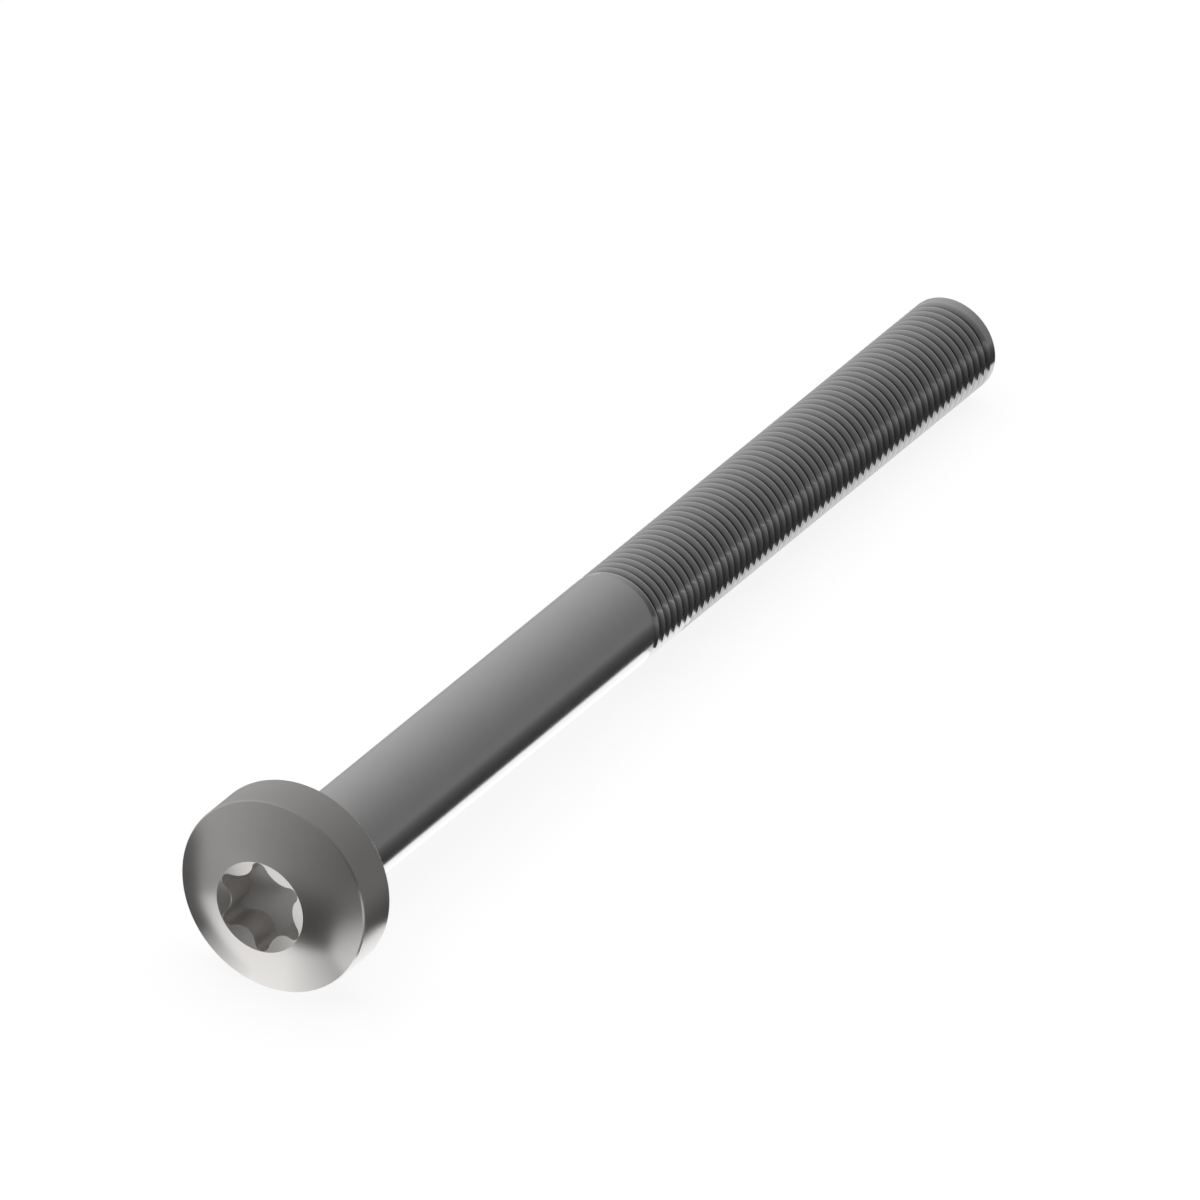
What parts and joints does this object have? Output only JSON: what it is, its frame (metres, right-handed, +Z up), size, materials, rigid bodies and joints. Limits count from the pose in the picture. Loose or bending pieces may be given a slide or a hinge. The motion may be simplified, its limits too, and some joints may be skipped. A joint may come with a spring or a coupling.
{
  "type": "pan head cap screw",
  "caption": "Steel pan head cap screw with a domed head, a six-lobe drive recess and a long shank that is plain below the head and has a fine thread to the tip.",
  "frame": {"origin": "centre of the bounding box's base, on the surface that the screw lies on", "axes": "+Z up; +X along the screw from its head to its tip, seen from above. The screw's own axis falls 2.3 degrees towards the tip, because it lies on the head's rim and on the tip."},
  "size_m": [0.0796, 0.012, 0.0121],
  "materials": {
    "steel": "bright plain steel, smooth and evenly glossy"
  },
  "bodies": {
    "root": {"cap_screw": "steel"}
  },
  "joints": []
}
